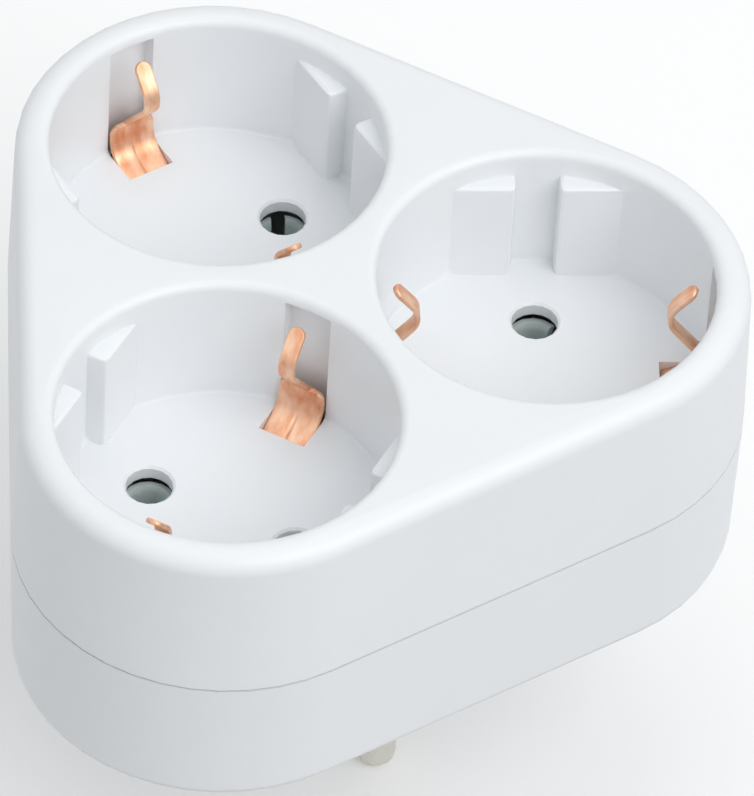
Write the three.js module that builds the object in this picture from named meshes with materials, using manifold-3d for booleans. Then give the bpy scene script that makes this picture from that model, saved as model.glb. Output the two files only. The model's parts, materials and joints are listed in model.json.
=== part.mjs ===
// Triple socket adapter: one earthed round plug below, three earthed round sockets above.
// Millimetres, +Z up. The origin is the centre of the plug's end face, on the plug's axis.
// The sockets open upwards, at 0, 120 and 240 degrees round that axis.
import * as THREE from "three";
import { mergeVertices } from "three/addons/utils/BufferGeometryUtils.js";
import Module from "manifold-3d";

// Places of the three sockets
const SOCKET_COUNT = 3;
const SOCKET_REACH = 24.68; // from the plug's axis to each socket's axis

// Cups
const CUP_RADIUS = 19.5;
const CUP_DEPTH = 17.5;
const CUP_DRAFT = 0.05; // the cup is this much narrower at its floor
const RIM_FILLET = 1.1;
const FLOOR_FILLET = 0.7;
const FLOOR_THICKNESS = 1.8;
const CUP_WALL = 2.6;
const PIN_PITCH = 19;
const PIN_HOLE_RADIUS = 2.75;
const PIN_HOLE_CHAMFER = 0.3;

// Guide ribs, a pair on each of two sides of a cup
const RIB_FACE = 16.8; // from the cup's axis to the ribs' flat faces
const RIB_HEIGHT = 15.2;
const RIB_GAP = 5.1; // between the two ribs of a pair
const RIB_FILLET = 0.6;

// Slots and wall pockets of the earth clips
const SLOT_LEAD = 1.3; // from the clip, where it reaches the floor, in to the slot's end
const POCKET_DEPTH = 1.6; // into the cup's wall
const POCKET_ROOF = 1.5; // from the top face down to the pocket's closed end

// Housing
const SIDE_WALL = 4.5; // from the cup's bore to the outside, at the parting line
const UPPER_DRAFT = 0.5;
const LOWER_DRAFT = 0.3;
const TOP_FILLET = 2.3;
const BOTTOM_FILLET = 1.5;
const WALL = 2.2;
const ROOF = 2.6;
const LOWER_WALL = 3.4;
const LOWER_FLOOR = 2.1;
const LOWER_HEIGHT = 18.7;
const LOCATING_RECESS = 1.1; // step inside the upper shell that the lower shell's lip enters
const LIP_CLEARANCE = 0.3;
const PARTING_GAP = 0.3;

// Plug
const BOSS_HEIGHT = 20.2;
const BOSS_RADIUS = 18.8;
const BOSS_FLAT = 16.3; // from the axis to the flats that pass an outlet's guide ribs
const BOSS_KEY_WIDTH = 4.2; // ridge that runs between an outlet's two ribs
const BOSS_KEY_REACH = 18.2;
const BOSS_EDGE = 0.9;
const BOSS_WALL = 5.2;
const BOSS_FACE = 3;
const BOSS_GROOVE_DEPTH = 1.4;
const PLUG_ANGLE = -30; // direction of the plug's pins
const PIN_RADIUS = 2.4;
const PIN_LENGTH = 19;
const PIN_FLANGE_RADIUS = 3.5;
const PIN_FLANGE_HEIGHT = 1.2;
const PIN_STUD_RADIUS = 1.6;
const PIN_HEAD_RADIUS = 2.5;
const PIN_HEAD_HEIGHT = 0.8;
const PIN_TOWER_WALL = 2;

// Current-carrying plates and sleeves
const PLATE = 0.9; // thickness of both current plates
const ARM_WIDTH = 5;
const LIVE_RISE = 3; // from the lower shell's floor to the live plate
const NEUTRAL_RISE = 8; // from the lower shell's floor to the neutral plate
const SLEEVE_BORE = 2.35;
const SLEEVE_SHEET = 0.6;
const SLEEVE_SLOT = 1.7;
const SLEEVE_FLARE = 0.3;
const SLEEVE_DROP = 1.2; // from the cup floor's underside down to the sleeve's mouth
const FOOT_RADIUS = 4.2;
const FOOT_SHEET = 0.8;
const FOOT_RIVET_REACH = 6.3; // from the sleeve's axis to its rivet
const FOOT_TAB_RADIUS = 2.4;
const SUPPORT_RADIUS = 4.5;
const SUPPORT_BORE = 3;
const INSULATOR_MARGIN = 1.2; // between the board and the plug's earth strips
const INSULATOR_THICKNESS = 1;
const INSULATOR_RISE = 5.6; // from the lower shell's floor
const INSULATOR_POST_RADIUS = 1.6;

// Earth pieces
const CLIP_SHEET = 0.6;
const CLIP_WIDTH = 5.5;
const TONGUE_WIDTH = 2.6;
const CLIP_FLOOR_REACH = 14.4; // where the clip reaches the level of the cup's floor
const CLIP_FOLD_GAP = 0.2; // from the cup's wall in to the fold, where the wide part turns up and back
const CLIP_FOLD = 3.7; // height of that fold above the cup's floor
const CLIP_KNEE_REACH = 14.3; // the tongue's innermost point
const CLIP_KNEE = 10.8; // its height above the cup's floor
const CLIP_TIP_REACH = 16.9;
const CLIP_TIP = 15.8;
const CLIP_RISE_RUN = 0.7; // how far the clip leans outwards as it passes through the floor
const CLIP_FOLD_BEND = 0.8; // radius of the fold
const CLIP_KNEE_RUN = 1.4; // from the knee down to the straight arm
const CLIP_KNEE_RISE = 1.6; // from the knee up to the straight tip
const CLIP_STEP = 0.3; // the small bend at the strip's end
const CLIP_SHOULDER_ROUND = 0.9;
const CLIP_DROP = 1.2; // from the cup floor's underside down to the strip
const LINK_SHEET = 0.8;
const LINK_WIDTH = 6;
const EARTH_STRIP_SHEET = 0.8;
const EARTH_STRIP_WIDTH = 6.5;
const EARTH_STRIP_BEND = 1.2; // radius of its turn inwards
const EARTH_STRIP_END = 2.6; // from the plug's end face
const RIVET_RADIUS = 1.1;
const RIVET_HEAD_RADIUS = 1.9;
const RIVET_HEAD_HEIGHT = 0.7;
const RIVET_EDGE = 0.6; // sheet left beyond a rivet's head

// Housing screws, driven from below between the sockets
const SCREW_RADIUS = 1.6;
const SCREW_HEAD_RADIUS = 3.1;
const SCREW_HEAD_HEIGHT = 2.2;
const SCREW_SINK = 8.5; // from the underside to the head's seat
const SCREW_BITE = 11; // how far it enters the upper shell
const UPPER_POST_RADIUS = 3.5;
const LOWER_POST_WALL = 1.6;
const DRIVE_WIDTH = 0.9;
const DRIVE_LENGTH = 3.6;
const DRIVE_DEPTH = 1.2;

// Clearances
const SEAT = 0.2; // between pieces that rest on each other
const FIT = 0.2; // round a pin, rivet, sleeve or screw in its hole
const OVER = 1; // how far a cutter runs past the face that it opens

// Facets
const CUP_FACETS = 48;
const ROUND_FACETS = 16;
const SMALL_FACETS = 10;
const CORNER_FACETS = 15;
const FILLET_STEPS = 3;

// Heights
const BODY_RADIUS = CUP_RADIUS + SIDE_WALL;
const Z_BOTTOM = BOSS_HEIGHT;
const Z_LOWER_FLOOR = Z_BOTTOM + LOWER_FLOOR;
const Z_PARTING = Z_BOTTOM + LOWER_HEIGHT;
const Z_UNDER_CUPS = Z_PARTING + LOCATING_RECESS;
const Z_CUP_FLOOR = Z_UNDER_CUPS + FLOOR_THICKNESS;
const Z_TOP = Z_CUP_FLOOR + CUP_DEPTH;
const Z_LIVE = Z_LOWER_FLOOR + LIVE_RISE;
const Z_NEUTRAL = Z_LOWER_FLOOR + NEUTRAL_RISE;
const Z_INSULATOR = Z_LOWER_FLOOR + INSULATOR_RISE;
const Z_CLIP_STRIP = Z_UNDER_CUPS - CLIP_DROP - CLIP_SHEET;
const Z_LINK = Z_CLIP_STRIP - SEAT - LINK_SHEET;
const Z_EARTH_LEG = Z_LINK - SEAT - EARTH_STRIP_SHEET;

// Plan positions
const POCKET_REACH = CUP_RADIUS + POCKET_DEPTH;
const CLIP_FOLD_REACH = CUP_RADIUS - CLIP_FOLD_GAP;
const SLOT_WIDTH = CLIP_WIDTH + 2 * FIT;
const CONTACT_REACH = Math.hypot(SOCKET_REACH, PIN_PITCH / 2);
const CONTACT_ANGLE = Math.atan2(PIN_PITCH / 2, SOCKET_REACH);
const SIDE_REACH = SOCKET_REACH * Math.cos(Math.PI / SOCKET_COUNT) + BODY_RADIUS; // to the flat sides
const SCREW_REACH = SIDE_REACH - LOWER_WALL - LIP_CLEARANCE - UPPER_POST_RADIUS;
const BOSS_GROOVE_FLOOR = BOSS_RADIUS - BOSS_GROOVE_DEPTH;
const EARTH_STRIP_REACH = BOSS_GROOVE_FLOOR + FIT + EARTH_STRIP_SHEET / 2;
const INSULATOR_RADIUS = EARTH_STRIP_REACH - EARTH_STRIP_SHEET / 2 - INSULATOR_MARGIN;
const INSULATOR_POST_REACH = INSULATOR_RADIUS - INSULATOR_POST_RADIUS;
const CLIP_INNER_END = SOCKET_REACH - CLIP_FLOOR_REACH + SLOT_LEAD;
const EARTH_RIVET_REACH = CLIP_INNER_END - RIVET_HEAD_RADIUS - 3 * SEAT;
const EARTH_LEG_END = EARTH_RIVET_REACH - RIVET_HEAD_RADIUS - RIVET_EDGE;
const socketAngles = Array.from({ length: SOCKET_COUNT }, (_, k) => (2 * Math.PI * k) / SOCKET_COUNT);
const plugTurn = THREE.MathUtils.degToRad(PLUG_ANGLE);
const earthTurns = [plugTurn + Math.PI / 2, plugTurn - Math.PI / 2];

// Materials
const whitePlastic = new THREE.MeshStandardMaterial({ color: 0xe8e9ed, roughness: 0.42, metalness: 0 });
const nickel = new THREE.MeshStandardMaterial({ color: 0xc4c2b2, roughness: 0.32, metalness: 1 });
const platedSleeve = new THREE.MeshStandardMaterial({ color: 0x93a3a3, roughness: 0.4, metalness: 1 });
const copper = new THREE.MeshStandardMaterial({ color: 0xc8875f, roughness: 0.33, metalness: 1 });
const brass = new THREE.MeshStandardMaterial({ color: 0xc9a85c, roughness: 0.36, metalness: 1 });
const zincSteel = new THREE.MeshStandardMaterial({ color: 0xb9bcc0, roughness: 0.38, metalness: 1 });
const greyBoard = new THREE.MeshStandardMaterial({ color: 0x8f8a80, roughness: 0.8, metalness: 0 });

// Joining and cutting closed geometries
const wasm = await Module();
wasm.setup();

function solidOf(geometry) {
  const bare = geometry.index ? geometry.toNonIndexed() : geometry.clone();
  bare.deleteAttribute("normal");
  bare.deleteAttribute("uv");
  const merged = mergeVertices(bare, 1e-4);
  return new wasm.Manifold(
    new wasm.Mesh({
      numProp: 3,
      vertProperties: new Float32Array(merged.attributes.position.array),
      triVerts: new Uint32Array(merged.index.array),
    }),
  );
}

function geometryOf(solid) {
  const mesh = solid.getMesh();
  const indexed = new THREE.BufferGeometry();
  indexed.setAttribute("position", new THREE.BufferAttribute(new Float32Array(mesh.vertProperties), 3));
  indexed.setIndex(new THREE.BufferAttribute(new Uint32Array(mesh.triVerts), 1));
  const flat = indexed.toNonIndexed();
  flat.computeVertexNormals();
  return flat;
}

function join(...geometries) {
  return geometryOf(geometries.map(solidOf).reduce((a, b) => a.add(b)));
}

function cut(geometry, ...tools) {
  return geometryOf(tools.map(solidOf).reduce((a, b) => a.subtract(b), solidOf(geometry)));
}

function common(a, b) {
  return geometryOf(solidOf(a).intersect(solidOf(b)));
}

// Basic forms
function turned(geometry, angle) {
  return geometry.clone().rotateZ(angle);
}

function moved(geometry, x, y, z) {
  return geometry.clone().translate(x, y, z);
}

// A piece drawn about its socket's axis, placed at each of the three sockets
function atSockets(geometry) {
  return socketAngles.map((a) => turned(moved(geometry, SOCKET_REACH, 0, 0), a));
}

function post(radius, z0, z1, facets = SMALL_FACETS) {
  return new THREE.CylinderGeometry(radius, radius, z1 - z0, facets)
    .rotateX(Math.PI / 2)
    .translate(0, 0, (z0 + z1) / 2);
}

function block(x0, x1, y0, y1, z0, z1) {
  return new THREE.BoxGeometry(x1 - x0, y1 - y0, z1 - z0).translate(
    (x0 + x1) / 2,
    (y0 + y1) / 2,
    (z0 + z1) / 2,
  );
}

// A body of revolution about Z; each profile point is [radius, z] and the profile runs upwards
function revolved(profile, facets = SMALL_FACETS) {
  const points = profile.map(([r, z]) => new THREE.Vector2(r, z));
  return new THREE.LatheGeometry(points, facets).rotateX(Math.PI / 2);
}

// Points of a quarter turn, each as [radius, z]
function quarter(centreR, centreZ, radius, from, to, steps = FILLET_STEPS) {
  return Array.from({ length: steps + 1 }, (_, i) => {
    const a = THREE.MathUtils.degToRad(from + ((to - from) * i) / steps);
    return [centreR + radius * Math.cos(a), centreZ + radius * Math.sin(a)];
  });
}

// A solid through stacked convex rings of equally many points, closed by a flat cap at each end
function loft(rings) {
  const n = rings[0].length;
  const positions = rings.flat().flatMap((p) => [p.x, p.y, p.z]);
  const indices = [];
  for (let r = 0; r + 1 < rings.length; r++) {
    for (let i = 0; i < n; i++) {
      const a = r * n + i;
      const b = r * n + ((i + 1) % n);
      indices.push(a, b, b + n, a, b + n, a + n);
    }
  }
  const last = (rings.length - 1) * n;
  for (let i = 1; i + 1 < n; i++) {
    indices.push(0, i + 1, i);
    indices.push(last, last + i, last + i + 1);
  }
  const geometry = new THREE.BufferGeometry();
  geometry.setAttribute("position", new THREE.Float32BufferAttribute(positions, 3));
  geometry.setIndex(indices);
  return geometry;
}

// Rounded triangle: an arc about each socket's axis, joined by straight sides
function bodyRing(radius, z) {
  const half = Math.PI / SOCKET_COUNT;
  return socketAngles.flatMap((middle) =>
    Array.from({ length: CORNER_FACETS + 1 }, (_, i) => {
      const a = middle - half + (2 * half * i) / CORNER_FACETS;
      const x = SOCKET_REACH * Math.cos(middle) + radius * Math.cos(a);
      const y = SOCKET_REACH * Math.sin(middle) + radius * Math.sin(a);
      return new THREE.Vector3(x, y, z);
    }),
  );
}

function bodyBlock(radius, z0, z1) {
  return loft([bodyRing(radius, z0), bodyRing(radius, z1)]);
}

// Rectangle with rounded corners, drawn anticlockwise
function rectangleRing(x0, x1, y0, y1, radius, z) {
  const corners = [
    [x1 - radius, y0 + radius, -90],
    [x1 - radius, y1 - radius, 0],
    [x0 + radius, y1 - radius, 90],
    [x0 + radius, y0 + radius, 180],
  ];
  return corners.flatMap(([x, y, from]) =>
    quarter(x, y, radius, from, from + 90, 2).map(([px, py]) => new THREE.Vector3(px, py, z)),
  );
}

// Sheet bent along a centre line of [x, z] points, its width along Y
function bentSheet(line, sheet, width) {
  const points = line.map(([x, z]) => new THREE.Vector2(x, z));
  const side = (sign) =>
    points.map((p, i) => {
      const before = points[Math.max(i - 1, 0)];
      const after = points[Math.min(i + 1, points.length - 1)];
      const d = after.clone().sub(before).normalize();
      return new THREE.Vector2(p.x - (sign * d.y * sheet) / 2, p.y + (sign * d.x * sheet) / 2);
    });
  const outline = new THREE.Shape([...side(1), ...side(-1).reverse()]);
  return new THREE.ExtrudeGeometry(outline, { depth: width, bevelEnabled: false })
    .translate(0, 0, -width / 2)
    .rotateX(Math.PI / 2);
}

function place(mesh, x, y, z, turn = 0) {
  mesh.position.set(x, y, z);
  mesh.rotation.z = turn;
  return mesh;
}

function piece(name, geometry, material) {
  const mesh = new THREE.Mesh(geometry, material);
  mesh.name = name;
  return mesh;
}

// Upper shell: three cups in one moulding, open below between the cups
function cupBore() {
  const floorRadius = CUP_RADIUS - CUP_DRAFT;
  return revolved(
    [
      [0, Z_CUP_FLOOR],
      ...quarter(floorRadius - FLOOR_FILLET, Z_CUP_FLOOR + FLOOR_FILLET, FLOOR_FILLET, -90, 0, 2),
      ...quarter(CUP_RADIUS + RIM_FILLET, Z_TOP - RIM_FILLET, RIM_FILLET, 180, 90),
      [CUP_RADIUS + RIM_FILLET, Z_TOP + OVER],
      [0, Z_TOP + OVER],
    ],
    CUP_FACETS,
  );
}

function guideRib(side, end) {
  const z0 = Z_CUP_FLOOR - FLOOR_THICKNESS / 2;
  const z1 = Z_CUP_FLOOR + RIB_HEIGHT;
  const ribEnd = Math.hypot(CUP_RADIUS, CUP_WALL) - RIB_GAP; // past the point where the face meets the wall
  const ring = (inset, z) =>
    rectangleRing(
      RIB_GAP / 2 + inset,
      ribEnd,
      RIB_FACE + inset,
      CUP_RADIUS + CUP_WALL - inset,
      RIB_FILLET,
      z,
    );
  const top = quarter(0, z1 - RIB_FILLET, RIB_FILLET, 0, 80, 2);
  const rib = loft([ring(0, z0), ...top.map(([r, z]) => ring((RIB_FILLET - r) * 0.9, z))]);
  const placed = turned(rib, side > 0 ? 0 : Math.PI);
  return end > 0 ? placed : mirroredX(placed);
}

// The mirror image across the YZ plane, with its faces turned to point outwards again
function mirroredX(geometry) {
  const flipped = geometry.index ? geometry.toNonIndexed() : geometry.clone();
  const p = flipped.attributes.position;
  for (let i = 0; i < p.count; i += 3) {
    const a = new THREE.Vector3().fromBufferAttribute(p, i);
    const c = new THREE.Vector3().fromBufferAttribute(p, i + 2);
    p.setXYZ(i, -c.x, c.y, c.z);
    p.setX(i + 1, -p.getX(i + 1));
    p.setXYZ(i + 2, -a.x, a.y, a.z);
  }
  return flipped;
}

function pinHole(side) {
  const edge = PIN_HOLE_RADIUS + PIN_HOLE_CHAMFER;
  return revolved([
    [0, Z_UNDER_CUPS - OVER],
    [PIN_HOLE_RADIUS, Z_UNDER_CUPS - OVER],
    [PIN_HOLE_RADIUS, Z_CUP_FLOOR - PIN_HOLE_CHAMFER],
    [edge, Z_CUP_FLOOR],
    [edge, Z_CUP_FLOOR + OVER / 2],
    [0, Z_CUP_FLOOR + OVER / 2],
  ], ROUND_FACETS).translate(0, (side * PIN_PITCH) / 2, 0);
}

function upperHousing() {
  const top = BODY_RADIUS - UPPER_DRAFT;
  const outside = loft([
    bodyRing(BODY_RADIUS, Z_PARTING),
    ...quarter(top - TOP_FILLET, Z_TOP - TOP_FILLET, TOP_FILLET, 0, 90, 4).map(([r, z]) => bodyRing(r, z)),
  ]);
  const hollow = bodyBlock(BODY_RADIUS - UPPER_DRAFT - WALL, Z_UNDER_CUPS, Z_TOP - ROOF);
  const recess = bodyBlock(BODY_RADIUS - WALL, Z_PARTING - OVER, Z_UNDER_CUPS);
  const tube = post(CUP_RADIUS + CUP_WALL, Z_UNDER_CUPS, Z_TOP - ROOF / 2, CUP_FACETS);
  const posts = socketAngles.map((a) =>
    turned(moved(post(UPPER_POST_RADIUS, Z_PARTING, Z_TOP - ROOF / 2), SCREW_REACH, 0, 0), a + Math.PI / 3),
  );
  const shell = join(cut(outside, recess, hollow), ...atSockets(tube), ...posts);
  const bored = cut(shell, ...atSockets(cupBore()));
  const ribLimit = post(CUP_RADIUS + CUP_WALL / 2, Z_UNDER_CUPS, Z_TOP, CUP_FACETS);
  const ribs = [1, -1].flatMap((side) => [1, -1].map((end) => common(guideRib(side, end), ribLimit)));
  const slot = block(
    CLIP_FLOOR_REACH - SLOT_LEAD,
    POCKET_REACH,
    -SLOT_WIDTH / 2,
    SLOT_WIDTH / 2,
    Z_UNDER_CUPS - OVER,
    Z_TOP - POCKET_ROOF,
  );
  const tools = [slot, turned(slot, Math.PI), pinHole(1), pinHole(-1)];
  const pilots = socketAngles.map((a) => {
    const pilot = post(SCREW_RADIUS + FIT, Z_PARTING - OVER, Z_PARTING + SCREW_BITE + OVER);
    return turned(moved(pilot, SCREW_REACH, 0, 0), a + Math.PI / 3);
  });
  return cut(join(bored, ...ribs.flatMap(atSockets)), ...tools.flatMap(atSockets), ...pilots);
}

// Plug boss: a round plug with two keyed flats across the pins and an earth groove on each side
function bossOutline() {
  const chord = Math.acos(BOSS_FLAT / BOSS_RADIUS);
  const half = BOSS_RADIUS * Math.sin(chord);
  const key = BOSS_KEY_WIDTH / 2;
  const shape = new THREE.Shape();
  shape.absarc(0, 0, BOSS_RADIUS, chord, Math.PI - chord, false);
  shape.lineTo(-BOSS_FLAT, half);
  shape.lineTo(-BOSS_FLAT, key);
  shape.lineTo(-BOSS_KEY_REACH, key);
  shape.lineTo(-BOSS_KEY_REACH, -key);
  shape.lineTo(-BOSS_FLAT, -key);
  shape.absarc(0, 0, BOSS_RADIUS, Math.PI + chord, 2 * Math.PI - chord, false);
  shape.lineTo(BOSS_FLAT, -key);
  shape.lineTo(BOSS_KEY_REACH, -key);
  shape.lineTo(BOSS_KEY_REACH, key);
  shape.lineTo(BOSS_FLAT, key);
  return shape;
}

function plugBoss() {
  return new THREE.ExtrudeGeometry(bossOutline(), {
    depth: BOSS_HEIGHT - BOSS_EDGE,
    bevelThickness: BOSS_EDGE,
    bevelSize: BOSS_EDGE,
    bevelOffset: -BOSS_EDGE,
    bevelSegments: 2,
    curveSegments: 14,
  }).translate(0, 0, BOSS_EDGE);
}

// Lower shell: a tray with the plug boss below it and supports for the plates inside
function lowerHousing() {
  const topZ = Z_PARTING - PARTING_GAP;
  const bottom = BODY_RADIUS - LOWER_DRAFT;
  const round = quarter(bottom - BOTTOM_FILLET, Z_BOTTOM + BOTTOM_FILLET, BOTTOM_FILLET, -90, 0);
  const outside = loft([...round.map(([r, z]) => bodyRing(r, z)), bodyRing(BODY_RADIUS, topZ)]);
  const lipTop = Z_UNDER_CUPS - LIP_CLEARANCE;
  const lip = bodyBlock(BODY_RADIUS - WALL - LIP_CLEARANCE, Z_BOTTOM + LOWER_FLOOR, lipTop);
  const hollow = bodyBlock(BODY_RADIUS - LOWER_WALL, Z_LOWER_FLOOR, lipTop + OVER);
  const boss = turned(plugBoss(), plugTurn);
  const bossHollow = post(BOSS_RADIUS - BOSS_WALL, BOSS_FACE, Z_LOWER_FLOOR + OVER, 32);
  const tray = cut(join(outside, lip, boss), hollow, bossHollow);

  const pinPlaces = [0, Math.PI].map((a) => a + plugTurn);
  const towers = pinPlaces.map((a) =>
    turned(moved(post(PIN_RADIUS + FIT + PIN_TOWER_WALL, BOSS_FACE / 2, Z_LOWER_FLOOR), PIN_PITCH / 2, 0, 0), a),
  );
  const supports = (sign, z) =>
    socketAngles.map((a) =>
      turned(
        moved(post(SUPPORT_RADIUS, Z_LOWER_FLOOR - LOWER_FLOOR / 2, z - SEAT), CONTACT_REACH, 0, 0),
        a + sign * CONTACT_ANGLE,
      ),
    );
  const boardPosts = socketAngles.map((a) =>
    turned(
      moved(
        post(INSULATOR_POST_RADIUS, Z_LOWER_FLOOR - LOWER_FLOOR / 2, Z_INSULATOR - SEAT),
        INSULATOR_POST_REACH,
        0,
        0,
      ),
      a,
    ),
  );
  const screwPostRadius = SCREW_HEAD_RADIUS + FIT + LOWER_POST_WALL;
  const screwPosts = socketAngles.map((a) =>
    turned(
      moved(post(screwPostRadius, Z_LOWER_FLOOR - LOWER_FLOOR / 2, topZ, ROUND_FACETS), SCREW_REACH, 0, 0),
      a + Math.PI / 3,
    ),
  );
  const joined = join(
    tray,
    ...towers,
    ...supports(1, Z_LIVE),
    ...supports(-1, Z_NEUTRAL),
    ...boardPosts,
    ...screwPosts,
  );

  const pinBores = pinPlaces.map((a) =>
    turned(moved(post(PIN_RADIUS + FIT, -OVER, Z_LOWER_FLOOR + OVER, ROUND_FACETS), PIN_PITCH / 2, 0, 0), a),
  );
  const supportBores = [1, -1].flatMap((sign) =>
    socketAngles.map((a) =>
      turned(
        moved(post(SUPPORT_BORE, Z_LOWER_FLOOR, Z_NEUTRAL + OVER), CONTACT_REACH, 0, 0),
        a + sign * CONTACT_ANGLE,
      ),
    ),
  );
  const seatZ = Z_BOTTOM + SCREW_SINK;
  const screwBores = socketAngles.flatMap((a) => {
    const headBore = moved(post(SCREW_HEAD_RADIUS + FIT, Z_BOTTOM - OVER, seatZ, ROUND_FACETS), SCREW_REACH, 0, 0);
    const shankBore = moved(post(SCREW_RADIUS + FIT, Z_BOTTOM, topZ + OVER), SCREW_REACH, 0, 0);
    return [headBore, shankBore].map((bore) => turned(bore, a + Math.PI / 3));
  });
  const groove = block(
    BOSS_GROOVE_FLOOR,
    BOSS_RADIUS + FIT,
    -EARTH_STRIP_WIDTH / 2 - FIT,
    EARTH_STRIP_WIDTH / 2 + FIT,
    -OVER,
    Z_LOWER_FLOOR + OVER,
  );
  const grooves = earthTurns.map((a) => turned(groove, a));
  return cut(joined, ...pinBores, ...supportBores, ...screwBores, ...grooves);
}

// Plug pin: domed end, flange on its tower, shoulder under the plate and a riveted head above it
function plugPin(plateZ) {
  const tip = -PIN_LENGTH;
  const shoulder = plateZ - SEAT;
  const flange = Z_LOWER_FLOOR + SEAT;
  const head = plateZ + PLATE + SEAT / 2;
  return revolved(
    [
      [0, tip],
      ...quarter(PIN_RADIUS - 1.7, tip + 1.7, 1.7, -90, 0, 4),
      [PIN_RADIUS, flange],
      [PIN_FLANGE_RADIUS, flange],
      [PIN_FLANGE_RADIUS, flange + PIN_FLANGE_HEIGHT],
      [PIN_RADIUS, flange + PIN_FLANGE_HEIGHT],
      [PIN_RADIUS, shoulder],
      [PIN_STUD_RADIUS, shoulder],
      [PIN_STUD_RADIUS, head],
      [PIN_HEAD_RADIUS, head],
      [PIN_HEAD_RADIUS * 0.8, head + PIN_HEAD_HEIGHT],
      [0, head + PIN_HEAD_HEIGHT],
    ],
    ROUND_FACETS,
  );
}

// Current plate: an arm to each socket's sleeve, and a pad on the plug's pin
function currentPlate(z, sign, pinAngle) {
  const arms = socketAngles.flatMap((a) => {
    const turn = a + sign * CONTACT_ANGLE;
    return [
      turned(block(0, CONTACT_REACH, -ARM_WIDTH / 2, ARM_WIDTH / 2, z, z + PLATE), turn),
      turned(moved(post(FOOT_RADIUS, z, z + PLATE, ROUND_FACETS), CONTACT_REACH, 0, 0), turn),
    ];
  });
  const pad = turned(moved(post(PIN_HEAD_RADIUS + 1.6, z, z + PLATE, ROUND_FACETS), PIN_PITCH / 2, 0, 0), pinAngle);
  const hub = turned(post(ARM_WIDTH, z, z + PLATE, ROUND_FACETS), Math.PI / ROUND_FACETS);
  const holes = socketAngles.flatMap((a) => {
    const turn = a + sign * CONTACT_ANGLE;
    const through = (radius, reach) =>
      turned(moved(post(radius, z - OVER, z + PLATE + OVER), reach, 0, 0), turn);
    return [
      through(SUPPORT_BORE, CONTACT_REACH),
      through(RIVET_RADIUS + FIT, CONTACT_REACH - FOOT_RIVET_REACH),
    ];
  });
  const stud = post(PIN_STUD_RADIUS + FIT, z - OVER, z + PLATE + OVER);
  const pinHoleCut = turned(moved(stud, PIN_PITCH / 2, 0, 0), pinAngle);
  return cut(join(hub, pad, ...arms), ...holes, pinHoleCut);
}

// Split sleeve on a riveted foot, drawn about its own axis with the foot's tab towards -X
function contactSleeve(plateZ) {
  const z0 = plateZ + PLATE + SEAT;
  const z1 = Z_UNDER_CUPS - SLEEVE_DROP;
  const outer = SLEEVE_BORE + SLEEVE_SHEET;
  const tube = revolved(
    [
      [SLEEVE_BORE, z0],
      [outer, z0],
      [outer, z1 - 3 * SLEEVE_FLARE],
      [outer + SLEEVE_FLARE, z1],
      [SLEEVE_BORE + SLEEVE_FLARE, z1],
      [SLEEVE_BORE, z1 - 3 * SLEEVE_FLARE],
      [SLEEVE_BORE, z0],
    ],
    ROUND_FACETS,
  );
  const split = block(0, outer + OVER, -SLEEVE_SLOT / 2, SLEEVE_SLOT / 2, z0 + 2 * FOOT_SHEET, z1 + OVER);
  const flange = post(FOOT_RADIUS, z0, z0 + FOOT_SHEET, ROUND_FACETS);
  const neck = block(-FOOT_RIVET_REACH, 0, -FOOT_TAB_RADIUS, FOOT_TAB_RADIUS, z0, z0 + FOOT_SHEET);
  const tab = moved(post(FOOT_TAB_RADIUS, z0, z0 + FOOT_SHEET), -FOOT_RIVET_REACH, 0, 0);
  const bore = post(SLEEVE_BORE, z0 - OVER, z0 + 2 * FOOT_SHEET, ROUND_FACETS);
  const rivetHole = post(RIVET_RADIUS + FIT, z0 - OVER, z0 + OVER + FOOT_SHEET);
  const foot = cut(join(flange, neck, tab), bore, moved(rivetHole, -FOOT_RIVET_REACH, 0, 0));
  return join(foot, cut(tube, split));
}

// Rivet through two sheets, from the lower face z0 to the upper face z1
function rivet(z0, z1) {
  const low = z0 - SEAT / 2;
  const high = z1 + SEAT / 2;
  return revolved([
    [0, low - RIVET_HEAD_HEIGHT],
    [RIVET_HEAD_RADIUS * 0.7, low - RIVET_HEAD_HEIGHT],
    [RIVET_HEAD_RADIUS, low],
    [RIVET_RADIUS, low],
    [RIVET_RADIUS, high],
    [RIVET_HEAD_RADIUS, high],
    [RIVET_HEAD_RADIUS * 0.7, high + RIVET_HEAD_HEIGHT],
    [0, high + RIVET_HEAD_HEIGHT],
  ]);
}

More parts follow.
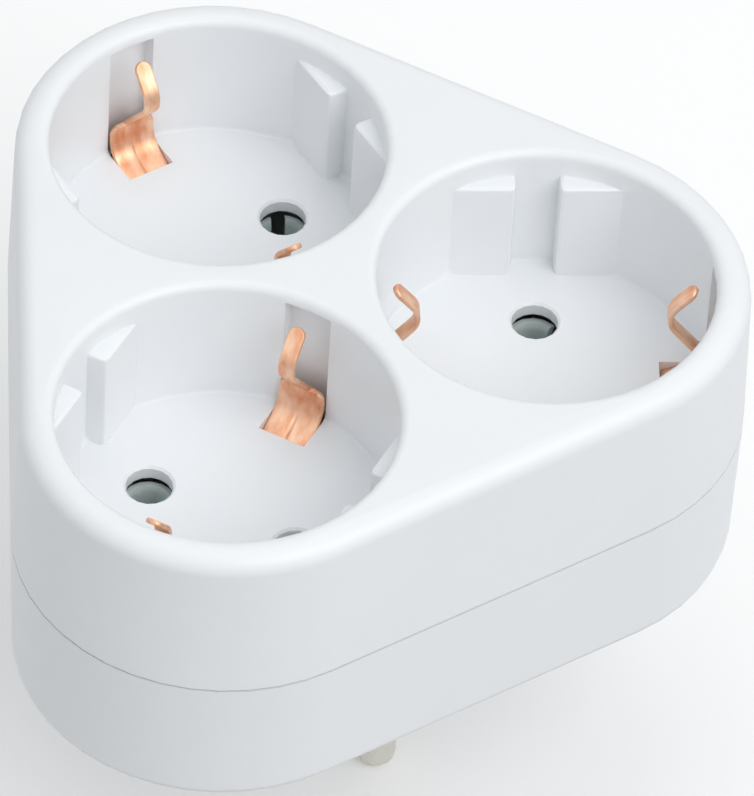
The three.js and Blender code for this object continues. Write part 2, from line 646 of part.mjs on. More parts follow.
// Earth strip of one socket: it runs under the cup's floor and rises as a sprung clip at each end
function earthClipStrip() {
  const floor = Z_CUP_FLOOR;
  const flat = Z_CLIP_STRIP + CLIP_SHEET / 2;
  const spring = new THREE.CatmullRomCurve3(
    [
      [CLIP_FLOOR_REACH - CLIP_RISE_RUN, floor - FLOOR_THICKNESS * 0.75],
      [CLIP_FLOOR_REACH, floor - CLIP_SHEET],
      [(CLIP_FLOOR_REACH + CLIP_FOLD_REACH) / 2, floor - CLIP_SHEET / 4],
      [CLIP_FOLD_REACH - CLIP_FOLD_BEND, floor + CLIP_FOLD * 0.2],
      [CLIP_FOLD_REACH, floor + CLIP_FOLD * 0.65],
      [CLIP_FOLD_REACH - CLIP_FOLD_BEND / 8, floor + CLIP_FOLD],
      [CLIP_FOLD_REACH - CLIP_FOLD_BEND * 0.75, floor + CLIP_FOLD + CLIP_FOLD_BEND],
      [CLIP_KNEE_REACH + CLIP_KNEE_RUN * (4 / 7), floor + CLIP_KNEE - CLIP_KNEE_RUN],
      [CLIP_KNEE_REACH, floor + CLIP_KNEE],
      [CLIP_KNEE_REACH + CLIP_KNEE_RISE * 0.375, floor + CLIP_KNEE + CLIP_KNEE_RISE],
      [CLIP_TIP_REACH, floor + CLIP_TIP],
    ].map(([x, z]) => new THREE.Vector3(x, 0, z)),
    false,
    "catmullrom",
    0.5,
  );
  const rising = spring.getPoints(20).map((p) => [p.x, p.z]);
  const stripEnd = CLIP_FLOOR_REACH - CLIP_RISE_RUN - SLOT_LEAD;
  const right = [[stripEnd, flat], [stripEnd + CLIP_FOLD_BEND, flat + CLIP_STEP], ...rising];
  const left = right.map(([x, z]) => [-x, z]).reverse();
  const sheet = bentSheet([...left, ...right], CLIP_SHEET, CLIP_WIDTH);

  const w = CLIP_WIDTH / 2;
  const t = TONGUE_WIDTH / 2;
  const round = CLIP_SHOULDER_ROUND;
  const tipZ = floor + CLIP_TIP + CLIP_SHEET / 2 - t;
  const shoulder = floor + CLIP_FOLD + CLIP_SHEET;
  const front = new THREE.Shape();
  front.moveTo(-w, Z_CLIP_STRIP - OVER);
  front.lineTo(w, Z_CLIP_STRIP - OVER);
  front.lineTo(w, shoulder - round);
  front.lineTo(w - round / 3, shoulder - round / 3);
  front.lineTo(w - round, shoulder);
  front.lineTo(t, shoulder + round / 9);
  front.absarc(0, tipZ, t, 0, Math.PI, false);
  front.lineTo(-t, shoulder + round / 9);
  front.lineTo(-w + round, shoulder);
  front.lineTo(-w + round / 3, shoulder - round / 3);
  front.lineTo(-w, shoulder - round);
  const length = 2 * POCKET_REACH;
  const outline = new THREE.ExtrudeGeometry(front, { depth: length, bevelEnabled: false, curveSegments: 6 })
    .translate(0, 0, -length / 2)
    .rotateX(Math.PI / 2)
    .rotateZ(Math.PI / 2);
  const hole = post(RIVET_RADIUS + FIT, Z_CLIP_STRIP - OVER, Z_CLIP_STRIP + CLIP_SHEET + OVER / 2);
  return cut(common(sheet, outline), hole);
}

// Earth link: a plate with an arm under each socket's strip and one to each plug strip
function earthLink() {
  const arm = (length) => block(0, length, -LINK_WIDTH / 2, LINK_WIDTH / 2, Z_LINK, Z_LINK + LINK_SHEET);
  const long = socketAngles.map((a) => turned(arm(SOCKET_REACH + LINK_WIDTH / 2), a));
  const short = earthTurns.map((a) => turned(arm(EARTH_STRIP_REACH - EARTH_STRIP_SHEET), a));
  const hole = post(RIVET_RADIUS + FIT, Z_LINK - OVER, Z_LINK + LINK_SHEET + OVER);
  const holes = [
    ...atSockets(hole),
    ...earthTurns.map((a) => turned(moved(hole, EARTH_RIVET_REACH, 0, 0), a)),
  ];
  return cut(join(post(LINK_WIDTH * 0.9, Z_LINK, Z_LINK + LINK_SHEET, ROUND_FACETS), ...long, ...short), ...holes);
}

// Plug earth strip: it lies in the boss's side groove and bends in over the plates, drawn along +X
function plugEarthStrip() {
  const bendZ = Z_EARTH_LEG + EARTH_STRIP_SHEET / 2;
  const bend = EARTH_STRIP_BEND;
  const line = [
    [EARTH_STRIP_REACH, EARTH_STRIP_END],
    ...quarter(EARTH_STRIP_REACH - bend, bendZ - bend, bend, 0, 90),
    [EARTH_LEG_END, bendZ],
  ];
  const sheet = bentSheet(line, EARTH_STRIP_SHEET, EARTH_STRIP_WIDTH);
  const hole = post(RIVET_RADIUS + FIT, Z_EARTH_LEG - OVER, Z_EARTH_LEG + EARTH_STRIP_SHEET + OVER);
  return cut(sheet, moved(hole, EARTH_RIVET_REACH, 0, 0));
}

// Board between the live and the neutral plate
function insulator() {
  const board = post(INSULATOR_RADIUS, Z_INSULATOR, Z_INSULATOR + INSULATOR_THICKNESS, 32);
  const hole = post(PIN_RADIUS + FIT, Z_INSULATOR - OVER, Z_INSULATOR + INSULATOR_THICKNESS + OVER, ROUND_FACETS);
  return cut(board, turned(moved(hole, PIN_PITCH / 2, 0, 0), plugTurn));
}

// Housing screw with a cross drive, drawn about its own axis
function housingScrew() {
  const seat = Z_BOTTOM + SCREW_SINK - SEAT;
  const under = seat - SCREW_HEAD_HEIGHT;
  const end = Z_PARTING + SCREW_BITE;
  const body = revolved([
    [0, under],
    [SCREW_HEAD_RADIUS * 0.8, under],
    [SCREW_HEAD_RADIUS, under + SCREW_HEAD_HEIGHT * 0.4],
    [SCREW_HEAD_RADIUS, seat],
    [SCREW_RADIUS, seat],
    [SCREW_RADIUS, end - 2 * SCREW_RADIUS],
    [0, end],
  ]);
  const bar = block(
    -DRIVE_LENGTH / 2,
    DRIVE_LENGTH / 2,
    -DRIVE_WIDTH / 2,
    DRIVE_WIDTH / 2,
    under - OVER,
    under + DRIVE_DEPTH,
  );
  return cut(body, bar, turned(bar, Math.PI / 2));
}

// Assembly
const group = new THREE.Group();
group.name = "triple_socket_adapter";
group.add(piece("upper_housing", upperHousing(), whitePlastic));
group.add(piece("lower_housing", lowerHousing(), whitePlastic));

const plug = new THREE.Group();
plug.rotation.z = plugTurn;
plug.add(place(piece("neutral_pin", plugPin(Z_NEUTRAL), nickel), PIN_PITCH / 2, 0, 0));
plug.add(place(piece("live_pin", plugPin(Z_LIVE), nickel), -PIN_PITCH / 2, 0, 0));
group.add(plug);

earthTurns.forEach((turn, i) => {
  const side = new THREE.Group();
  side.rotation.z = turn;
  side.add(piece("plug_earth_strip_" + (i + 1), plugEarthStrip(), copper));
  const joint = rivet(Z_EARTH_LEG, Z_LINK + LINK_SHEET);
  side.add(place(piece("plug_earth_rivet_" + (i + 1), joint, zincSteel), EARTH_RIVET_REACH, 0, 0));
  group.add(side);
});

group.add(piece("live_busbar", currentPlate(Z_LIVE, 1, plugTurn + Math.PI), brass));
group.add(piece("neutral_busbar", currentPlate(Z_NEUTRAL, -1, plugTurn), brass));
group.add(piece("insulating_board", insulator(), greyBoard));
group.add(piece("earth_link", earthLink(), copper));

socketAngles.forEach((angle, k) => {
  const n = k + 1;
  const poles = [
    ["live", 1, Z_LIVE],
    ["neutral", -1, Z_NEUTRAL],
  ];
  poles.forEach(([pole, sign, z]) => {
    const arm = new THREE.Group();
    arm.rotation.z = angle + sign * CONTACT_ANGLE;
    const top = z + PLATE + SEAT + FOOT_SHEET;
    arm.add(place(piece(pole + "_contact_" + n, contactSleeve(z), platedSleeve), CONTACT_REACH, 0, 0));
    const joint = piece(pole + "_rivet_" + n, rivet(z, top), zincSteel);
    arm.add(place(joint, CONTACT_REACH - FOOT_RIVET_REACH, 0, 0));
    group.add(arm);
  });

  const socket = new THREE.Group();
  socket.rotation.z = angle;
  socket.add(place(piece("earth_clip_strip_" + n, earthClipStrip(), copper), SOCKET_REACH, 0, 0));
  const joint = rivet(Z_LINK, Z_CLIP_STRIP + CLIP_SHEET);
  socket.add(place(piece("earth_rivet_" + n, joint, zincSteel), SOCKET_REACH, 0, 0));
  group.add(socket);

  const between = new THREE.Group();
  between.rotation.z = angle + Math.PI / 3;
  between.add(place(piece("housing_screw_" + n, housingScrew(), zincSteel), SCREW_REACH, 0, 0));
  group.add(between);
});

export default group;
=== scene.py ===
"""Triple socket adapter: materials, fine detail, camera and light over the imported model."""

import json
import math

import bmesh
import bpy
from mathutils import Matrix, Vector


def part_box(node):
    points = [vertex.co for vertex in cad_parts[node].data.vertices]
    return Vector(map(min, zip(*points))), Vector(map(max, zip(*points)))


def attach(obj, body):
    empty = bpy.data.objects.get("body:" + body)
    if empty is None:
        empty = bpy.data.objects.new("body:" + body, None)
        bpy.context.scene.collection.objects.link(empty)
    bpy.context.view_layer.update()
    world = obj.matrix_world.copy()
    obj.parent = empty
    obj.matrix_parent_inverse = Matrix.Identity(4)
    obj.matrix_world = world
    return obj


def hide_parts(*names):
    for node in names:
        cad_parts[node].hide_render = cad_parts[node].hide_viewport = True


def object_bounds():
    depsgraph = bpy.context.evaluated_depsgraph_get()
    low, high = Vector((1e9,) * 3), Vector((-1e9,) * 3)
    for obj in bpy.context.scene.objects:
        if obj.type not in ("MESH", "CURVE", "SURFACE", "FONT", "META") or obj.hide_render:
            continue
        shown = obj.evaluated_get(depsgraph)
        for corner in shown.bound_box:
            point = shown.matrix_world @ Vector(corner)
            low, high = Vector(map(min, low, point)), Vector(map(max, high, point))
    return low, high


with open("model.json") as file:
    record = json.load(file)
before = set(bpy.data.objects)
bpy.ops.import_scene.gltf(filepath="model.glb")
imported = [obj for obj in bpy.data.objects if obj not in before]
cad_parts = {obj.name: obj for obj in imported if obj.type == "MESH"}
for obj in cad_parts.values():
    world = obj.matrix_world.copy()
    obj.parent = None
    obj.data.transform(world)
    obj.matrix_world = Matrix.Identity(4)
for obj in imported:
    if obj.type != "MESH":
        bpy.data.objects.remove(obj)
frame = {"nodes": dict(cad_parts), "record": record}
cad_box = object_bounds()
nodes = frame["nodes"]
scene = bpy.context.scene

MM_PER_METRE = 1000
IMAGE_HEIGHT = 796
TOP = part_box("upper_housing")[1][2]
PIN_TIP = cad_box[0][2]

# Cups, in metres and radians
CUP_DEPTH = 0.0175
CUP_FLOOR = TOP - CUP_DEPTH
first_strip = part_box("earth_clip_strip_1")
SOCKET_REACH = (first_strip[0][0] + first_strip[1][0]) / 2
SOCKET_ANGLES = [math.radians(120 * k) for k in range(3)]

# Cups, in millimetres
CUP_RADIUS = 19.5
RIB_REACH = 16
RIB_TOP = 15.2
RIB_TOP_EDGE = 0.7
RIB_DROP = 1.1
SLOT_END = 13.1
SLOT_HALF_WIDTH = 3
SLOT_DEPTH = 2
SLOT_SHIFT = 0.95
NEAR = 0.1

# Earth clips, in millimetres: the centre line is (reach, height above the cup's floor, fillet)
CLIP_SHEET = 0.6
CLIP_EDGE = 0.16
CLIP_BASE_HALF = 2.92
CLIP_TONGUE_HALF = 1.05
CLIP_TONGUE_LENGTH = 13.3
CLIP_TIP_HALF = 0.02
CLIP_SHOULDER_ROUND = 1.1
CLIP_NECK_ROUND = 0.35
CLIP_LINE = [
    (0, -3.3, 0),
    (14.45, -3.3, 0.7),
    (14.45, -1.6, 0.6),
    (18.8, 0.35, 3.3),
    (18.8, 4.3, 0.7),
    (13.66, 10.9, 3.0),
    (17.3, 15.25, 0),
]

# Crease along the clip's base, in millimetres
CREASE_DEPTH = 0.11
CREASE_WIDTH = 0.2
CREASE_START = 22.5
CREASE_RUN_IN = 1.5
CREASE_LEAD = 0.3
CREASE_RUN_OUT = 0.6

# How finely the clip's mesh is divided
BEND_STEP = 0.12
LEAST_BEND_STEPS = 4
STRAIGHT_STEPS = 4
SHOULDER_STATIONS = (-1.1, -0.9, -0.7, -0.5, -0.3, -0.15, -0.05, 0, 0.02, 0.1, 0.2, 0.4)
TIP_ANGLES = range(0, 90, 9)
EDGE_ANGLES = (67.5, 45, 22.5, 0, -22.5, -45, -67.5)
WIDEST_EDGE = 0.9
SECTION_STEPS = 12
SECTION_CROWDING = 1.8
TINY = 1e-9

# Shading of the solids
SHARP_ANGLE = 32
FACE_WEIGHT = 90
MERGE_DISTANCE = 2e-6

# Stage and light
FLOOR_SIZE = 6
FLOOR_GAP = 0.0002
FLOOR_GLOW = 0.05
FLOOR_SHOWN = (1, 1, 1, 1)
FLOOR_BOUNCE = (0.42, 0.42, 0.43, 1)
LAMP_AIM = (0, 0, 0.03)
SKY_COLOR = (0.975, 1, 1.01, 1)
SKY_STRENGTH = 0.605


# Node helpers
class Material:
    """A Principled material that is built up node by node."""

    def __init__(self, name, color, roughness, metallic=0.0):
        self.material = bpy.data.materials.new(name)
        self.material.use_nodes = True
        self.tree = self.material.node_tree
        self.shader = self.tree.nodes["Principled BSDF"]
        self.shader.inputs["Base Color"].default_value = (*color, 1)
        self.shader.inputs["Roughness"].default_value = roughness
        self.shader.inputs["Metallic"].default_value = metallic
        self.coords = self.tree.nodes.new("ShaderNodeTexCoord").outputs["Object"]
        self.normal = None

    def link(self, source, target):
        self.tree.links.new(source, target)

    def node(self, kind, **values):
        made = self.tree.nodes.new(kind)
        for key, value in values.items():
            if key in made.inputs:
                made.inputs[key].default_value = value
            else:
                setattr(made, key, value)
        return made

    def stretched(self, scale):
        mapping = self.tree.nodes.new("ShaderNodeMapping")
        mapping.inputs["Scale"].default_value = scale
        self.link(self.coords, mapping.inputs["Vector"])
        return mapping.outputs["Vector"]

    def noise(self, scale, detail=3.0, vector=None):
        made = self.node("ShaderNodeTexNoise", Scale=scale, Detail=detail, Roughness=0.55)
        self.link(vector or self.coords, made.inputs["Vector"])
        return made.outputs["Fac"]

    def span(self, value, low, high, from_low=0.3, from_high=0.7):
        made = self.node("ShaderNodeMapRange")
        made.inputs["From Min"].default_value = from_low
        made.inputs["From Max"].default_value = from_high
        made.inputs["To Min"].default_value = low
        made.inputs["To Max"].default_value = high
        self.link(value, made.inputs["Value"])
        return made.outputs["Result"]

    def bump(self, value, distance, strength):
        made = self.node("ShaderNodeBump", Strength=strength, Distance=distance)
        self.link(value, made.inputs["Height"])
        if self.normal is not None:
            self.link(self.normal, made.inputs["Normal"])
        self.normal = made.outputs["Normal"]
        self.link(self.normal, self.shader.inputs["Normal"])

    def color_between(self, value, first, second, from_low=0.3, from_high=0.7):
        made = self.tree.nodes.new("ShaderNodeMix")
        made.data_type = "RGBA"
        self.link(self.span(value, 0, 1, from_low, from_high), made.inputs["Factor"])
        made.inputs["A"].default_value = (*first, 1)
        made.inputs["B"].default_value = (*second, 1)
        self.link(made.outputs["Result"], self.shader.inputs["Base Color"])

    def roughness_between(self, value, low, high):
        self.link(self.span(value, low, high), self.shader.inputs["Roughness"])


def moulded_plastic():
    m = Material("moulded_white_plastic", (0.886, 0.909, 0.932), 0.36)
    m.color_between(m.noise(60, 4), (0.877, 0.901, 0.925), (0.895, 0.917, 0.939))
    m.roughness_between(m.noise(450, 3), 0.32, 0.42)
    m.bump(m.noise(1800, 2), 0.00003, 0.25)
    m.bump(m.noise(120, 2), 0.0002, 0.06)
    m.shader.inputs["IOR"].default_value = 1.46
    m.shader.inputs["Subsurface Weight"].default_value = 0.1
    m.shader.inputs["Subsurface Radius"].default_value = (0.9, 0.95, 1.0)
    m.shader.inputs["Subsurface Scale"].default_value = 0.0012
    return m.material


def copper_sheet():
    m = Material("copper_alloy_sheet", (0.93, 0.56, 0.38), 0.4, 0.8)
    grain = m.noise(700, 5, vector=m.stretched((0.4, 1, 0.4)))
    m.color_between(grain, (0.80, 0.37, 0.20), (0.97, 0.65, 0.46), 0.35, 0.65)
    drawn = m.noise(1400, 4, vector=m.stretched((0.12, 1, 0.12)))
    m.roughness_between(drawn, 0.36, 0.54)
    m.bump(drawn, 0.00008, 0.5)
    m.bump(m.noise(260, 3), 0.0002, 0.15)
    return m.material


def nickel_plate():
    m = Material("nickel_plate", (0.72, 0.70, 0.64), 0.26, 1.0)
    m.color_between(m.noise(180, 4), (0.66, 0.645, 0.59), (0.78, 0.765, 0.71))
    turned = m.noise(1500, 3, vector=m.stretched((0.15, 0.15, 1)))
    m.roughness_between(turned, 0.20, 0.34)
    m.bump(turned, 0.00002, 0.3)
    return m.material


def plated_sleeve():
    m = Material("plated_sleeve_sheet", (0.76, 0.85, 0.83), 0.5, 0.2)
    m.color_between(m.noise(350, 4), (0.70, 0.80, 0.78), (0.82, 0.90, 0.88))
    m.roughness_between(m.noise(700, 3), 0.42, 0.58)
    m.bump(m.noise(500, 3), 0.0001, 0.2)
    return m.material


def brass_sheet():
    m = Material("brass_sheet", (0.80, 0.62, 0.30), 0.32, 1.0)
    m.color_between(m.noise(220, 4), (0.74, 0.56, 0.26), (0.85, 0.68, 0.36))
    rolled = m.noise(800, 3, vector=m.stretched((1, 0.1, 1)))
    m.roughness_between(rolled, 0.24, 0.42)
    m.bump(m.noise(600, 3), 0.0001, 0.15)
    return m.material


def zinc_steel():
    m = Material("zinc_plated_steel", (0.62, 0.63, 0.65), 0.34, 1.0)
    m.color_between(m.noise(260, 4), (0.56, 0.57, 0.60), (0.68, 0.69, 0.70))
    m.roughness_between(m.noise(900, 3), 0.28, 0.44)
    m.bump(m.noise(900, 3), 0.0001, 0.2)
    return m.material


def pressed_board():
    m = Material("pressed_insulating_board", (0.30, 0.28, 0.25), 0.8)
    m.color_between(m.noise(500, 5), (0.25, 0.23, 0.20), (0.36, 0.34, 0.30))
    m.bump(m.noise(900, 4), 0.0003, 0.4)
    return m.material


FINISHES = {
    "housing": moulded_plastic(),
    "earth": copper_sheet(),
    "pin": nickel_plate(),
    "sleeve": plated_sleeve(),
    "busbar": brass_sheet(),
    "fastener": zinc_steel(),
    "board": pressed_board(),
}


def smoothing(degrees):
    """Joins the facets' corners and shades over them, except at edges sharper than this."""
    group = bpy.data.node_groups.new("smooth_facets", "GeometryNodeTree")
    for side in ("INPUT", "OUTPUT"):
        group.interface.new_socket("Geometry", in_out=side, socket_type="NodeSocketGeometry")
    flow = [
        group.nodes.new(kind)
        for kind in (
            "NodeGroupInput",
            "GeometryNodeRemoveAttribute",
            "GeometryNodeMergeByDistance",
            "GeometryNodeSetShadeSmooth",
            "GeometryNodeSetShadeSmooth",
            "NodeGroupOutput",
        )
    ]
    for before, after in zip(flow, flow[1:]):
        group.links.new(before.outputs[0], after.inputs["Geometry"])
    _, plain, merge, smooth, sharp, _ = flow
    plain.inputs["Name"].default_value = "custom_normal"
    merge.inputs["Distance"].default_value = MERGE_DISTANCE
    smooth.inputs["Shade Smooth"].default_value = True
    sharp.domain = "EDGE"
    sharp.inputs["Shade Smooth"].default_value = False
    angle = group.nodes.new("GeometryNodeInputMeshEdgeAngle")
    over = group.nodes.new("FunctionNodeCompare")
    over.inputs["B"].default_value = math.radians(degrees)
    group.links.new(angle.outputs["Unsigned Angle"], over.inputs["A"])
    group.links.new(over.outputs["Result"], sharp.inputs["Selection"])
    return group


rounded = smoothing(SHARP_ANGLE)


def shade(solid):
    """Flat faces stay flat, and fillets are shaded smooth."""
    solid.modifiers.new("smooth_facets", "NODES").node_group = rounded
    weighted = solid.modifiers.new("even_normals", "WEIGHTED_NORMAL")
    weighted.keep_sharp = True
    weighted.weight = FACE_WEIGHT


for entry in frame["record"]["subparts"]:
    for slot in nodes[entry["node"]].material_slots:
        slot.material = FINISHES[entry["material_slot"]]
    shade(nodes[entry["node"]])


# Upper shell, with the guide ribs and the clip slots at the photograph's sizes
def to_cup(point, angle):
    """A point in a cup's own frame: along its clips, across them and up from its floor, in mm."""
    x = point.x * math.cos(angle) + point.y * math.sin(angle)
    y = -point.x * math.sin(angle) + point.y * math.cos(angle)
    return tuple(MM_PER_METRE * value for value in (x - SOCKET_REACH, y, point.z - CUP_FLOOR))


def at_rib_top(along, across, up):
    inside = math.hypot(along, across) < CUP_RADIUS + NEAR
    return inside and abs(across) > RIB_REACH and RIB_TOP - RIB_TOP_EDGE < up < RIB_TOP + NEAR


def at_slot_end(along, across, up):
    inner_end = abs(abs(along) - SLOT_END) < NEAR / 2
    return inner_end and abs(across) < SLOT_HALF_WIDTH and -SLOT_DEPTH < up < NEAR


def upper_shell():
    """The upper shell, with lower guide ribs and shorter clip slots."""
    mesh = nodes["upper_housing"].data.copy()
    for vertex in mesh.vertices:
        for angle in SOCKET_ANGLES:
            place = to_cup(vertex.co, angle)
            if at_rib_top(*place):
                vertex.co.z -= RIB_DROP / MM_PER_METRE
            if at_slot_end(*place):
                out = math.copysign(SLOT_SHIFT / MM_PER_METRE, place[0])
                vertex.co.x += out * math.cos(angle)
                vertex.co.y += out * math.sin(angle)
    shell = bpy.data.objects.new("upper_shell", mesh)
    scene.collection.objects.link(shell)
    shade(shell)
    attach(shell, "root")
    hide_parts("upper_housing")


# Earth clips
def filleted(corners):
    """Points along a polyline (reach, height, fillet radius), with each corner rounded."""
    path = [Vector(corners[0][:2])]
    for before, corner, after in zip(corners, corners[1:], corners[2:]):
        here = Vector(corner[:2])
        back = (Vector(before[:2]) - here).normalized()
        ahead = (Vector(after[:2]) - here).normalized()
        half = back.angle(ahead) / 2
        radius = corner[2]
        centre = here + (back + ahead).normalized() * (radius / math.sin(half))
        start = here + back * (radius / math.tan(half)) - centre
        end = here + ahead * (radius / math.tan(half)) - centre
        sweep = start.angle_signed(end)
        count = max(LEAST_BEND_STEPS, round(abs(sweep) * radius / BEND_STEP))
        for k in range(count + 1):
            turn = Matrix.Rotation(-sweep * k / count, 2)
            path.append(centre + turn @ start)
    path.append(Vector(corners[-1][:2]))
    dense = [path[0]]
    for a, b in zip(path, path[1:]):
        pieces = max(1, math.ceil((b - a).length / (STRAIGHT_STEPS * BEND_STEP)))
        dense += [a.lerp(b, k / pieces) for k in range(1, pieces + 1)]
    return dense


def clip_widths(lengths, total):
    """Half the clip's width at each length: wide base, shoulder, tongue and round tip."""
    shoulder = total - CLIP_TONGUE_LENGTH
    widths = []
    for length in lengths:
        before = shoulder - length
        if before > CLIP_SHOULDER_ROUND:
            half = CLIP_BASE_HALF
        elif before > 0:
            drop = 1 - before / CLIP_SHOULDER_ROUND
            rounding = 1 - math.sqrt(max(0, 1 - drop * drop))
            half = CLIP_BASE_HALF - CLIP_SHOULDER_ROUND * rounding
        else:
            neck = max(0, 1 + before / CLIP_NECK_ROUND)
            rounding = 1 - math.sqrt(max(0, 1 - neck * neck))
            half = CLIP_TONGUE_HALF + CLIP_NECK_ROUND * rounding
        left = total - length
        if left < CLIP_TONGUE_HALF:
            squared = CLIP_TONGUE_HALF**2 - (CLIP_TONGUE_HALF - left) ** 2
            half = math.sqrt(max(CLIP_TIP_HALF**2, squared))
        widths.append(half)
    return widths


def section(half, crease):
    """One cross-section of the sheet: points (across, out of the sheet), with rounded edges."""
    edge = min(CLIP_EDGE, half * WIDEST_EDGE)
    steps = range(-SECTION_STEPS, SECTION_STEPS + 1)
    spread = [math.copysign(abs(k / SECTION_STEPS) ** SECTION_CROWDING, k) for k in steps]
    flat = [(half - edge) * t for t in spread]
    dent = [crease * math.exp(-((t / CREASE_WIDTH) ** 2)) for t in flat]
    thick = CLIP_SHEET / 2
    arc = [math.radians(a) for a in EDGE_ANGLES]
    right = [(half - edge + edge * math.cos(a), thick * math.sin(a)) for a in arc]
    top = [(t, thick - d) for t, d in zip(flat, dent)]
    bottom = [(t, -thick - d) for t, d in zip(reversed(flat), reversed(dent))]
    left = [(-x, -y) for x, y in right]
    return top + right + bottom + left


def clip_stations():
    """Where half a strip's sections lie: lengths along it, their points, and its whole length."""
    line = filleted(CLIP_LINE)
    lengths = [0.0]
    for a, b in zip(line, line[1:]):
        lengths.append(lengths[-1] + (b - a).length)
    total = lengths[-1]
    shoulder = [total - CLIP_TONGUE_LENGTH + d for d in SHOULDER_STATIONS]
    tip = [total - CLIP_TONGUE_HALF * (1 - math.sin(math.radians(a))) for a in TIP_ANGLES]
    stations = sorted(set(lengths + shoulder + tip))

    def at(length):
        k = max(i for i in range(len(lengths) - 1) if lengths[i] <= length + TINY)
        span = lengths[k + 1] - lengths[k]
        return line[k].lerp(line[k + 1], min(1, (length - lengths[k]) / span))

    return stations, [at(length) for length in stations], total


def clip_rings():
    """Closed sections along the whole strip, from one tip to the other, in mm."""
    stations, points, total = clip_stations()
    rings = []
    for k, half in enumerate(clip_widths(stations, total)):
        point = points[k]
        ahead = points[min(k + 1, len(points) - 1)] - points[max(k - 1, 0)]
        normal = Vector((-ahead.y, ahead.x)).normalized()
        to_tip = total - stations[k]
        start = min(1, max(0, (CREASE_START - to_tip) / CREASE_RUN_IN))
        end = min(1, max(0, (to_tip - CLIP_TONGUE_LENGTH + CREASE_LEAD) / CREASE_RUN_OUT))
        ring = section(half, CREASE_DEPTH * start * end)
        rings.append(
            [(point.x + normal.x * out, across, point.y + normal.y * out) for across, out in ring]
        )
    mirrored = [[(-x, y, z) for x, y, z in ring] for ring in reversed(rings[1:])]
    return mirrored + rings


def clip_strip(number, angle):
    """One strip with a sprung clip at each end, swept along its centre line."""
    bm = bmesh.new()
    loops = [[bm.verts.new(Vector(p) / MM_PER_METRE) for p in ring] for ring in clip_rings()]
    for first, second in zip(loops, loops[1:]):
        for i in range(len(first)):
            j = (i + 1) % len(first)
            bm.faces.new((first[i], first[j], second[j], second[i]))
    bm.faces.new(loops[0])
    bm.faces.new(list(reversed(loops[-1])))
    bmesh.ops.recalc_face_normals(bm, faces=bm.faces)
    mesh = bpy.data.meshes.new(f"earth_clip_sheet_{number}")
    bm.to_mesh(mesh)
    bm.free()
    mesh.polygons.foreach_set("use_smooth", [True] * len(mesh.polygons))
    mesh.materials.append(FINISHES["earth"])
    strip = bpy.data.objects.new(mesh.name, mesh)
    axis = (SOCKET_REACH * math.cos(angle), SOCKET_REACH * math.sin(angle), CUP_FLOOR)
    strip.matrix_world = Matrix.Translation(axis) @ Matrix.Rotation(angle, 4, "Z")
    scene.collection.objects.link(strip)
    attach(strip, "root")
    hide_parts(f"earth_clip_strip_{number}")


upper_shell()
for index, socket_angle in enumerate(SOCKET_ANGLES):
    clip_strip(index + 1, socket_angle)


# Camera, from the fitted view of the photograph
def look(azimuth, elevation, roll, distance, focal_px, target):
    a, e, r = (math.radians(v) for v in (azimuth, elevation, roll))
    back = Vector((math.sin(a) * math.cos(e), -math.cos(a) * math.cos(e), math.sin(e)))
    right = Vector((0, 0, 1)).cross(back).normalized()
    up = back.cross(right)
    right, up = (
        right * math.cos(r) + up * math.sin(r),
        -right * math.sin(r) + up * math.cos(r),
    )
    data = bpy.data.cameras.new("view")
    data.lens = focal_px / IMAGE_HEIGHT * data.sensor_width
    data.clip_start = 0.05
    data.clip_end = 20
    camera = bpy.data.objects.new("view", data)
    turn = Matrix((right, up, back)).transposed().to_4x4()
    camera.matrix_world = Matrix.Translation(Vector(target) + back * distance) @ turn
    scene.collection.objects.link(camera)
    scene.camera = camera


look(
    azimuth=-4.66,
    elevation=46.67,
    roll=3.61,
    distance=1.05311,
    focal_px=9238.15,
    target=(0.00533, -0.00976, TOP - 0.01027),
)


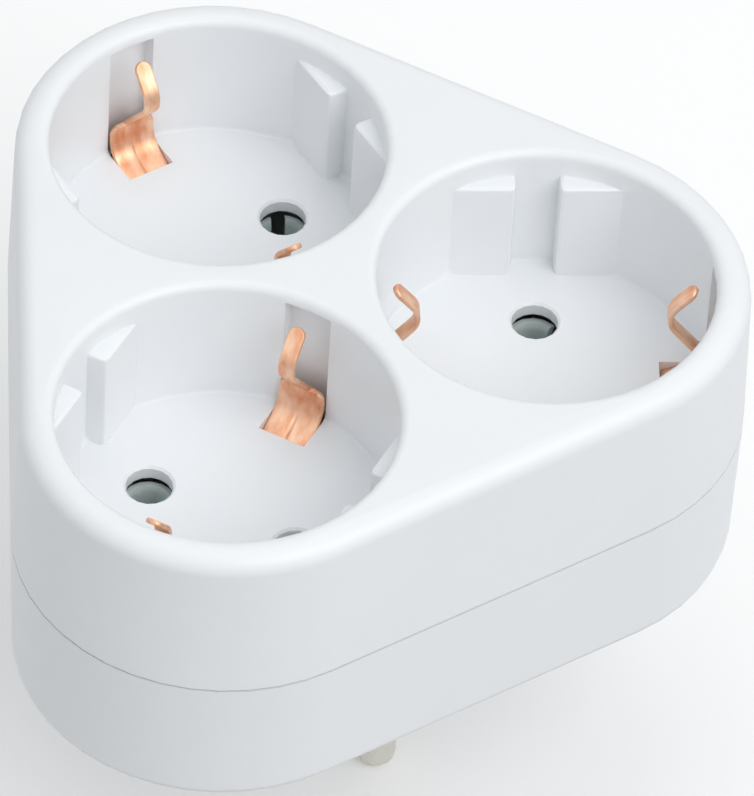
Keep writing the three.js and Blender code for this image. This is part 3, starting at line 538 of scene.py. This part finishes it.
# Stage
def floor():
    bpy.ops.mesh.primitive_plane_add(size=FLOOR_SIZE, location=(0, 0, PIN_TIP - FLOOR_GAP))
    plane = bpy.context.object
    plane.name = "floor"
    m = Material("pale_floor", (0.9, 0.9, 0.9), 0.9)
    m.shader.inputs["Emission Color"].default_value = (1, 1, 1, 1)
    m.shader.inputs["Emission Strength"].default_value = FLOOR_GLOW
    rays = m.node("ShaderNodeLightPath")
    mix = m.tree.nodes.new("ShaderNodeMix")
    mix.data_type = "RGBA"
    mix.inputs["A"].default_value = FLOOR_SHOWN
    mix.inputs["B"].default_value = FLOOR_BOUNCE
    m.link(rays.outputs["Is Diffuse Ray"], mix.inputs["Factor"])
    m.link(mix.outputs["Result"], m.shader.inputs["Base Color"])
    plane.data.materials.append(m.material)


def area_light(name, place, size, power, color=(1, 1, 1)):
    data = bpy.data.lights.new(name, "AREA")
    data.shape = "DISK"
    data.size = size
    data.energy = power
    data.color = color
    lamp = bpy.data.objects.new(name, data)
    lamp.location = place
    toward = Vector(LAMP_AIM) - Vector(place)
    lamp.rotation_euler = toward.to_track_quat("-Z", "Y").to_euler()
    scene.collection.objects.link(lamp)


floor()
area_light("key", (0.85, -0.95, 1.3), size=1.5, power=13.7, color=(1.0, 0.985, 0.98))
area_light("fill", (-0.2, 0.3, 2.0), size=1.8, power=5.0)

# World: white where it is seen or mirrored, and a soft sky for the light on the object
world = bpy.data.worlds.new("studio")
world.use_nodes = True
scene.world = world
sky = world.node_tree.nodes["Background"]
sky.inputs["Color"].default_value = SKY_COLOR
sky.inputs["Strength"].default_value = SKY_STRENGTH
seen = world.node_tree.nodes.new("ShaderNodeBackground")
seen.inputs["Color"].default_value = (1, 1, 1, 1)
seen.inputs["Strength"].default_value = 1.0
rays = world.node_tree.nodes.new("ShaderNodeLightPath")
mix = world.node_tree.nodes.new("ShaderNodeMixShader")
links = world.node_tree.links
shown = rays.outputs["Is Camera Ray"]
for kind in ("Is Glossy Ray", "Is Transmission Ray"):
    either = world.node_tree.nodes.new("ShaderNodeMath")
    either.operation = "MAXIMUM"
    links.new(shown, either.inputs[0])
    links.new(rays.outputs[kind], either.inputs[1])
    shown = either.outputs[0]
links.new(shown, mix.inputs[0])
links.new(sky.outputs[0], mix.inputs[1])
links.new(seen.outputs[0], mix.inputs[2])
links.new(mix.outputs[0], world.node_tree.nodes["World Output"].inputs["Surface"])

scene.view_settings.view_transform = "Standard"
